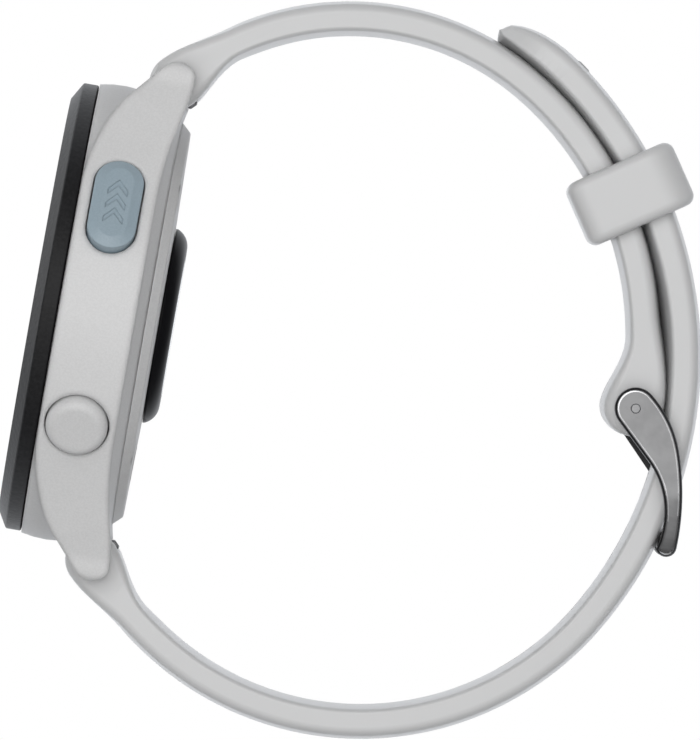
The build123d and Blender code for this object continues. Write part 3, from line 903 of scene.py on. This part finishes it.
    def _tip(self, distance: float, outer: float, inner: float) -> tuple[float, float]:
        """Round the tip off in the side view, mostly from its outer face.

        Args:
            distance: How far along the strap.
            outer: Half thickness to the outer face.
            inner: Half thickness to the inner face.

        Returns:
            Both, drawn in near the tip.
        """
        end = self.line.length() + self.tip_over
        far = min(1.0, max(0.0, 1 - (end - distance) / self.tip_reach))
        near = min(1.0, max(0.0, 1 - (end - distance) / self.tip_under))
        outer = (outer + self.tip_low) * math.sqrt(1 - far * far) - self.tip_low
        return outer, (inner - self.tip_low) * math.sqrt(1 - near * near) + self.tip_low

    def _round_plan(self, form: Form) -> None:
        """Round the tip in plan, with cross cuts that let the sides follow."""
        end = self.line.length() + self.tip_over
        for step in range(self.tip_cuts):
            spot, heading = self.line.at(end - 0.25 - self.tip_plan * step / self.tip_cuts)
            form.slice((0, *spot), (0, *polar(1, heading)))
        for vert in form.bm.verts:
            distance, _ = self.line.measure(Vector((vert.co.y, vert.co.z)))
            share = min(1.0, max(0.0, 1 - (end - distance) / self.tip_plan))
            vert.co.x *= math.sqrt(1 - self.tip_narrow * share ** 2.6)

    def _slot_tool(self, matrix: Matrix, size: Sequence[float], rounding: float = 0.0) -> bpy.types.Object:
        """Make a round-ended block.

        Args:
            matrix: Its place.
            size: Length along local Y, width along local X and depth along local Z.
            rounding: Radius of its upper edge.

        Returns:
            The block.
        """
        length, width, depth = size
        form = Form()
        bmesh.ops.create_cone(form.bm, cap_ends=True, segments=32, radius1=width / 2, radius2=width / 2,
                              depth=depth)
        form.slice((0, 0, 0), (0, 1, 0))
        for vert in form.bm.verts:
            if abs(vert.co.y) > TOUCH:
                vert.co.y += math.copysign((length - width) / 2, vert.co.y)
        if rounding:
            form.soften([e for e in form.bm.edges if all(v.co.z > depth / 2 - TOUCH for v in e.verts)
                         and e.calc_face_angle(0.0) > 1.0], rounding, 3)
        bmesh.ops.transform(form.bm, matrix=matrix, verts=form.bm.verts)
        return form.finish("tool", [self.kit.silicone])

    def _nub(self) -> bpy.types.Object:
        """Small raised bar across the outer face near the tip."""
        pose = self.line.pose(self.nub_at, self.wall - self.nub_sunk)
        return self._slot_tool(pose @ Matrix.Rotation(math.pi / 2, 4, "Z"), self.nub_size, self.nub_rounding)

    def _bore(self, spot: Vector, radius: float) -> bpy.types.Object:
        """Cutter for a round bore across the strap."""
        axis = Matrix.Translation((0, *spot)) @ Matrix.Rotation(math.pi / 2, 4, "Y")
        return self._slot_tool(axis, (2 * radius, 2 * radius, 2 * self.width))

    def _cutters(self) -> list[bpy.types.Object]:
        """Cutters for the bores, the lever slot, the tang's slot and the holes."""
        lean = math.radians(180 - self.half.value * 45)
        root = Matrix.Translation((self.lever_x, *self.line.start)) @ Matrix.Rotation(lean, 4, "X")
        half_depth = Matrix.Translation((0, 0, self.lever_slot[2] / 2))
        lever = root @ half_depth @ Matrix.Rotation(math.pi / 2, 4, "Z")
        made = [self._bore(self.line.start, self.bar_bore), self._slot_tool(lever, self.lever_slot)]
        if self.half is Half.UPPER:
            made.append(self._bore(self.line.end, self.pin_bore))
            place = Vector((0, self.line.end.x + self.tang_shift, self.line.end.y))
            made.append(block("tool", place, self.tang_slot, [self.kit.silicone]))
        else:
            for step in self.hole_steps:
                pose = self.line.pose(self.hole_first + step * self.hole_pitch)
                made.append(self._slot_tool(pose, self.hole_size))
        return made


# ---------------------------------------------------------------- keeper, buckle
@dataclass
class Keeper:
    """The free rubber loop that holds the strap's tail."""

    kit: Kit
    line: StrapLine
    at: float = 50.3
    offset: float = 1.59
    length: float = 6.4
    height: float = 10.9
    half_width: float = 12.1
    wall: float = 1.95
    rim: float = 1.0
    corners: tuple[float, float] = (2.8, 1.8)

    def build(self) -> bpy.types.Object:
        """Make the loop.

        Returns:
            The finished piece.
        """
        form = Form()
        bmesh.ops.create_grid(form.bm, x_segments=1, y_segments=1, size=1.0)
        bmesh.ops.scale(form.bm, verts=form.bm.verts, vec=(self.half_width, self.height / 2, 1))
        for outward, reach in zip((1, -1), self.corners):
            ends = [v for v in form.bm.verts if v.co.y * outward > self.height / 2 - TOUCH]
            bmesh.ops.bevel(form.bm, geom=ends, offset=reach, offset_type="OFFSET", segments=10,
                            profile=0.5, affect="VERTICES", material=-1)
        bmesh.ops.inset_region(form.bm, faces=form.bm.faces[:], thickness=self.wall,
                               use_even_offset=True, use_boundary=True)
        opening = max(form.bm.faces, key=lambda f: f.calc_area())
        bmesh.ops.delete(form.bm, geom=[opening], context="FACES_ONLY")
        grown = bmesh.ops.extrude_face_region(form.bm, geom=form.bm.faces[:])
        moved = [g for g in grown["geom"] if isinstance(g, bmesh.types.BMVert)]
        bmesh.ops.translate(form.bm, verts=form.bm.verts, vec=(0, 0, -self.length / 2))
        bmesh.ops.translate(form.bm, verts=moved, vec=(0, 0, self.length))
        bmesh.ops.recalc_face_normals(form.bm, faces=form.bm.faces)
        rims = [e for e in form.bm.edges if abs(e.verts[0].co.z - e.verts[1].co.z) < TOUCH
                and e.calc_face_angle(0.0) > 1.0]
        outside = [e for e in rims if self._is_outside((e.verts[0].co + e.verts[1].co) / 2)]
        inside = [e for e in rims if e not in outside]
        form.soften(outside, self.rim, 6)
        form.soften([e for e in inside if e.is_valid], self.rim / 3, 3)
        pose = self.line.pose(self.at, self.offset)
        stand = pose @ Matrix(((1, 0, 0, 0), (0, 0, 1, 0), (0, 1, 0, 0), (0, 0, 0, 1)))
        bmesh.ops.transform(form.bm, matrix=stand, verts=form.bm.verts)
        piece = form.finish("keeper_silicone", [self.kit.silicone], 50.0)
        weighted(piece)
        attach(piece, "keeper")
        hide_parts("keeper_loop")
        LOG.info("built %s", piece.name)
        return piece

    def _is_outside(self, middle: Vector) -> bool:
        """Whether a point of a rim is on the loop's outside."""
        step = 0.6 * self.wall
        return abs(middle.x) > self.half_width - step or abs(middle.y) > self.height / 2 - step


@dataclass
class Buckle:
    """Pin buckle: curved arms joined by a crossbar, and the tang."""

    kit: Kit
    pin: Vector
    arm_inner: float = 10.4
    arm_outer: float = 12.1
    eye: float = 2.0
    rim: float = 0.42
    bow_start: float = -7.0
    bow: float = 0.034
    bow_step: float = 0.45
    # y and z on an arm: where arcs of its back meet, the straight's end and the elbow of its front
    back_leaves: float = -38.0
    back: tuple[tuple[float, float], ...] = ((-3.4, -49.35), (-12.3, -50.65), (-12.7, -48.75))
    back_steps: tuple[int, ...] = (14, 14, 10)
    straight_end: tuple[float, float] = (-4.6, -46.55)
    elbow: tuple[float, float] = (-9.0, -48.9)
    front_leaves: float = 134.0
    # crossbar: y and z of its corners, their rounding, and the notch under the tang
    bar: tuple[tuple[float, float], ...] = (
        (-11.0, -48.95), (-11.0, -50.5), (-12.5, -50.55), (-13.1, -49.9), (-12.8, -48.95))
    bar_rounding: float = 0.35
    bar_into_arm: float = 0.5
    notch: tuple[float, float, float] = (2.9, 5.0, 2.0)
    notch_place: tuple[float, float, float] = (0.0, -12.0, -50.5)

    def _arm_outline(self, form: Form) -> None:
        """Draw one arm's closed outline: down its back from the eye, then up its front."""
        first = form.vertex(*(self.pin + polar(self.eye, self.back_leaves)))
        last, lead = first, polar(1, self.back_leaves - 90)
        for point, steps in zip(self.back, self.back_steps):
            centre, turn = self._circle(Vector((last.co.y, last.co.z)), Vector(point), lead)
            last = form.arc(last, centre, turn, steps)
            lead = Matrix.Rotation(math.radians(turn), 2) @ lead
        straight_start = self.pin + polar(self.eye, self.front_leaves)
        straight_end, elbow = Vector(self.straight_end), Vector(self.elbow)
        down = (straight_end - straight_start).normalized()
        _, turn = self._circle(straight_end, elbow, down)
        onward = Matrix.Rotation(math.radians(turn), 2) @ down
        last = self._back_through(form, last, elbow, onward, 8)
        last = self._back_through(form, last, straight_end, down, 12)
        last = form.line(last, *straight_start)
        last = form.arc(last, self.pin, self.back_leaves - self.front_leaves, 22)
        form.close(last, first)

    def _circle(self, start: Vector, end: Vector, lead: Vector) -> tuple[Vector, float]:
        """Centre and turn in degrees of the arc that leaves start along lead and reaches end."""
        chord = end - start
        normal = Vector((-lead.y, lead.x)).normalized()
        radius = chord.length_squared / (2 * chord.dot(normal))
        centre = start + normal * radius
        one, two = start - centre, end - centre
        turn = math.degrees(math.atan2(one.x * two.y - one.y * two.x, one.dot(two)))
        if turn * radius < 0:
            turn += math.copysign(360, radius)
        return centre, turn

    def _back_through(self, form: Form, start: bmesh.types.BMVert, end: Vector, lead: Vector,
                      steps: int) -> bmesh.types.BMVert:
        """Draw, in reverse, the arc that would leave end along lead and reach start."""
        centre, turn = self._circle(end, Vector((start.co.y, start.co.z)), lead)
        return form.arc(start, centre, -turn, steps)

    def build(self) -> bpy.types.Object:
        """Make the frame: two bevelled arms and a rounded crossbar.

        Returns:
            The finished frame.
        """
        form = Form()
        for side in (1, -1):
            arm = Form()
            self._arm_outline(arm)
            thickness = self.arm_outer - self.arm_inner
            arm.thicken(thickness)
            arm.soften(arm.rim_edges(thickness / 2) + arm.rim_edges(-thickness / 2), self.rim, 3)
            self._bow_in(arm, side)
            middle = self.arm_inner + thickness / 2
            bmesh.ops.translate(arm.bm, verts=arm.bm.verts, vec=(side * middle, 0, 0))
            form.take_in(arm)
        form.take_in(self._crossbar())
        # painted highlight and painted shade: steel copies picked by how each face leans
        self._paint_light_by_lean(form)
        steels = [self.kit.dark_steel, self.kit.shade_painted_steel, self.kit.highlight_painted_steel]
        piece = form.finish("buckle_frame_steel", steels, 50.0)
        combine(piece, block("tool", self.notch_place, self.notch, steels), crossing=True)
        weighted(piece)
        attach(piece, "buckle_frame")
        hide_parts("buckle_frame")
        # the tang wears the same near-black painted-shade copy of the steel
        dress(self.kit.shade_painted_steel, "buckle_tang")
        dress(self.kit.pin_steel, "buckle_pin")
        LOG.info("built %s", piece.name)
        return piece

    def _crossbar(self) -> Form:
        """Bar between the arms, run into both."""
        form = Form()
        corners = [form.vertex(*self.bar[0])]
        for point in self.bar[1:]:
            corners.append(form.line(corners[-1], *point))
        form.close(corners[-1], corners[0])
        form.round_corners(corners, self.bar_rounding, 4)
        form.thicken(2 * (self.arm_inner + self.bar_into_arm))
        return form

    def _bow_in(self, arm: Form, side: int) -> None:
        """Curve the lower end of an arm in towards the strap."""
        for step in range(14):
            arm.slice((0, self.bow_start - self.bow_step * step, 0), (0, 1, 0))
        for vert in arm.bm.verts:
            vert.co.x -= side * self.bow * max(0.0, self.bow_start - vert.co.y) ** 2

    def _paint_light_by_lean(self, form: Form) -> None:
        """Sort the faces by how they lean: blasted flats in plain steel, the first step of each rounded rim
        in a lighter copy as painted highlight, and the steep sides in a near-black copy as painted shade.
        """
        form.bm.normal_update()
        for face in form.bm.faces:
            lean = math.degrees(math.acos(min(1.0, abs(face.normal.x))))
            down = max(0.0, self.bow_start - face.calc_center_median().y)
            bowed = math.degrees(math.atan(2 * self.bow * down))
            # lean under 8°: plain flat; under 32°: painted highlight; steeper: painted shade
            face.material_index = 0 if lean < 8 + bowed else 2 if lean < 32 + bowed / 2 else 1


# ---------------------------------------------------------------- case, display, inside
@dataclass
class WatchHead:
    """Case, bezel, glass, buttons, sensor and everything inside."""

    kit: Kit

    def dress(self) -> None:
        """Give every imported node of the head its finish."""
        kit = self.kit
        dress(kit.case, "mid_case")
        dress(kit.cover, "back_cover")
        dress(kit.bezel, "bezel_ring")
        dress(kit.glass, "cover_glass")
        dress(kit.panel, "display_panel", "sensor_photodiodes")
        dress(kit.gloss, "sensor_hump")
        dress(kit.window, "sensor_window")
        dress(kit.green_light, "sensor_leds")
        dress(kit.board, "main_board", "sensor_board", "display_flex")
        dress(kit.tin, "board_shields", "vibration_motor", "buzzer_disc", "tact_switches",
              "gps_antenna_ring")
        dress(kit.foil, "battery_cell")
        dress(kit.nylon, "inner_chassis", "barometer_vent")
        dress(kit.gold, "charging_contacts")
        dress(kit.seal, "glass_gasket", "back_cover_gasket")
        dress(kit.steel, "back_cover_screws", "upper_spring_bar", "lower_spring_bar")
        dress(kit.dark_steel, "upper_release_pin", "lower_release_pin")
        for name in ("start", "back", "light", "up", "down"):
            dress(kit.start if name == "start" else kit.cap, f"{name}_button_cap")
            dress(kit.seal, f"{name}_button_seal")
            dress(kit.steel, f"{name}_button_clip")


@dataclass
class Dial:
    """Lit marks on the display, under the glass."""

    kit: Kit
    level: float = 12.262
    height: float = 0.022
    hour_mark: tuple[float, float, float] = (14.6, 1.5, 0.32)
    minute_mark: tuple[float, float, float] = (14.9, 0.9, 0.16)
    ring_radius: float = 12.6
    ring_piece: float = 0.55
    ring_turn: float = 250.0
    figures: str = "10:09"
    figure_size: float = 8.4
    figure_spot: tuple[float, float] = (0.0, 0.6)

    def build(self) -> None:
        """Make the minute marks, the hairline ring and the time."""
        self._marks()
        self._ring()
        self._time()

    def _marks(self) -> None:
        """Sixty radial bars, a longer one at every fifth."""
        form = Form()
        for minute in range(60):
            radius, length, width = self.minute_mark if minute % 5 else self.hour_mark
            made = bmesh.ops.create_cube(form.bm, size=1.0)["verts"]
            bmesh.ops.scale(form.bm, verts=made, vec=(length, width, self.height))
            spoke = Matrix.Rotation(math.radians(6 * minute), 4, "Z")
            place = spoke @ Matrix.Translation((radius, 0, self.level))
            bmesh.ops.transform(form.bm, verts=made, matrix=place)
        self._settle(form.finish("dial_marks", [self.kit.white_light]))

    def _ring(self) -> None:
        """A hairline ring of about seven tenths of a turn."""
        form = Form()
        made = bmesh.ops.create_grid(form.bm, x_segments=1, y_segments=1, size=0.5)["verts"]
        bmesh.ops.scale(form.bm, verts=made, vec=(self.height, self.ring_piece, 1))
        bmesh.ops.rotate(form.bm, verts=made, matrix=Matrix.Rotation(math.pi / 2, 3, "Y"))
        bmesh.ops.translate(form.bm, verts=made, vec=(-self.ring_radius, 0, self.level))
        bmesh.ops.spin(form.bm, geom=form.bm.verts[:] + form.bm.edges[:] + form.bm.faces[:],
                       cent=(0, 0, 0), axis=Z_AXIS, dvec=(0, 0, 0), angle=math.radians(self.ring_turn),
                       steps=90, use_merge=False, use_duplicate=False)
        self._settle(form.finish("dial_ring", [self.kit.blue_light]))

    def _time(self) -> None:
        """The time's figures, as a flat mesh."""
        curve = bpy.data.curves.new("figures", "FONT")
        curve.body = self.figures
        curve.size = self.figure_size
        curve.align_x = "CENTER"
        curve.align_y = "CENTER"
        curve.extrude = self.height / 2
        holder = bpy.data.objects.new("holder", curve)
        mesh = bpy.data.meshes.new_from_object(holder)
        bpy.data.objects.remove(holder)
        form = Form()
        form.bm.from_mesh(mesh)
        bpy.data.meshes.remove(mesh)
        bmesh.ops.translate(form.bm, verts=form.bm.verts, vec=(*self.figure_spot, self.level))
        self._settle(form.finish("dial_time", [self.kit.white_light]))

    def _settle(self, piece: bpy.types.Object) -> None:
        """Put a mark on the case's body."""
        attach(piece, "case")
        LOG.info("built %s", piece.name)


# ---------------------------------------------------------------- studio
@dataclass
class Studio:
    """Pale floor, soft light and the side-on camera."""

    floor_z: float = -110.0
    floor_radius: float = 400.0
    aim: tuple[float, float, float] = (0.0, -1.0, -17.25)
    roll: float = 10.0
    frame_height: float = 70.4
    distance: float = 2500.0
    sensor: float = 36.0
    soft_sky: Sequence[tuple[float, Colour]] = (
        (0.0, (0.9, 0.9, 0.9)), (0.2, (0.75, 0.75, 0.75)), (0.32, (0.1, 0.1, 0.1)),
        (0.8, (0.1, 0.1, 0.1)), (0.92, (1.3, 1.3, 1.3)), (1.0, (2.1, 2.1, 2.1)))
    gloss_sky: Sequence[tuple[float, Colour]] = (
        (0.0, (1.2, 1.23, 1.28)), (0.52, (1.0, 1.03, 1.08)), (0.6, (0.06, 0.06, 0.06)),
        (0.84, (0.1, 0.1, 0.1)), (0.93, (0.7, 0.7, 0.7)), (1.0, (0.9, 0.9, 0.9)))
    lamp_size: float = 420.0

    def build(self) -> None:
        """Set the floor, the lights and the camera."""
        self._floor()
        self._world()
        self._lamp("key", (640, 160, 120), 1.05)
        self._lamp("top", (-200, 120, 600), 0.75)
        self._camera()

    def _floor(self) -> None:
        """A pale matte floor, below the reach of the opened strap."""
        form = Form()
        bmesh.ops.create_circle(form.bm, cap_ends=True, segments=96, radius=self.floor_radius)
        bmesh.ops.translate(form.bm, verts=form.bm.verts, vec=(0, 0, self.floor_z))
        shader = Shader("floor_paper")
        grain = shader.noise(700.0, 3.0)
        shader.set(Base_Color=shader.mix(grain, (0.86, 0.86, 0.86), (0.9, 0.9, 0.9)),
                   Roughness=0.85 + grain * 0.1, Emission_Color=(1.0, 1.0, 1.0), Emission_Strength=0.8)
        floor = form.finish("floor", [shader.material])
        floor.visible_diffuse = False
        floor.visible_glossy = False

    def _world(self) -> None:
        """White surroundings with a dark band, so that edges facing the band read dark."""
        world = bpy.data.worlds.new("studio")
        graph = Graph(world)
        direction = graph.node("ShaderNodeTexCoord").out("Generated")
        across = graph.node("ShaderNodeSeparateXYZ", {}, {"Vector": direction}).out("X") * 0.5 + 0.5
        rays = graph.node("ShaderNodeLightPath")
        white = graph.node("ShaderNodeBackground", {}, {"Color": (1.0, 1.0, 1.0)}).out("Background")
        shown = self._sky(graph, across, self.soft_sky)
        gloss = self._sky(graph, across, self.gloss_sky)
        for flag, other in (("Is Glossy Ray", gloss), ("Is Camera Ray", white)):
            mixed = graph.node("ShaderNodeMixShader", {}, {0: rays.out(flag), 1: shown, 2: other})
            shown = mixed.out("Shader")
        graph.node("ShaderNodeOutputWorld", {}, {"Surface": shown})
        world.cycles.sampling_method = "NONE"
        bpy.context.scene.world = world
        bpy.context.scene.view_settings.view_transform = "Standard"

    def _sky(self, graph: Graph, across: Socket, stops: Sequence[tuple[float, Colour]]) -> Socket:
        """Background whose colour runs with the direction's X.

        Args:
            graph: The world's nodes.
            across: The direction's X, from nought at -X to one at +X.
            stops: Ramp positions and colours.

        Returns:
            The background's output.
        """
        ramp = graph.node("ShaderNodeValToRGB", {"stops": stops}, {"Fac": across})
        return graph.node("ShaderNodeBackground", {}, {"Color": ramp.out("Color")}).out("Background")

    def _lamp(self, name: str, spot: tuple[float, float, float], power: float) -> None:
        """Add a square softbox that faces the watch.

        Args:
            name: Lamp name.
            spot: Its place in millimetres.
            power: Power in watts.
        """
        light = bpy.data.lights.new(name, "AREA")
        light.energy = power
        light.size = self.lamp_size * MM
        lamp = bpy.data.objects.new(name, light)
        lamp.location = Vector(spot) * MM
        facing = Vector(self.aim) * MM - lamp.location
        lamp.rotation_euler = facing.to_track_quat("-Z", "Y").to_euler()
        bpy.context.scene.collection.objects.link(lamp)

    def _camera(self) -> None:
        """Look along -X with the watch upright in the frame and leaning back."""
        data = bpy.data.cameras.new("camera")
        data.sensor_width = self.sensor
        data.lens = self.sensor * self.distance / self.frame_height
        data.clip_start = 0.1
        data.clip_end = 20
        tilt = math.radians(self.roll)
        right = Vector((0, math.sin(tilt), -math.cos(tilt)))
        up = Vector((0, math.cos(tilt), math.sin(tilt)))
        turn = Matrix((right, up, Vector(X_AXIS))).transposed().to_4x4()
        place = (Vector(self.aim) + Vector(X_AXIS) * self.distance) * MM
        camera = bpy.data.objects.new("camera", data)
        camera.matrix_world = Matrix.Translation(place) @ turn
        bpy.context.scene.collection.objects.link(camera)
        bpy.context.scene.camera = camera


def main() -> None:
    """Build every sub-assembly and set the studio."""
    logging.basicConfig(level=logging.INFO, format="%(name)s: %(message)s")
    kit = Kit()
    WatchHead(kit).dress()
    Dial(kit).build()
    StrapHalf(Half.UPPER, UPPER_LINE, kit).build()
    StrapHalf(Half.LOWER, LOWER_LINE, kit).build()
    Keeper(kit, UPPER_LINE).build()
    Buckle(kit, UPPER_LINE.end).build()
    Studio().build()


if __name__ == "__main__":
    main()
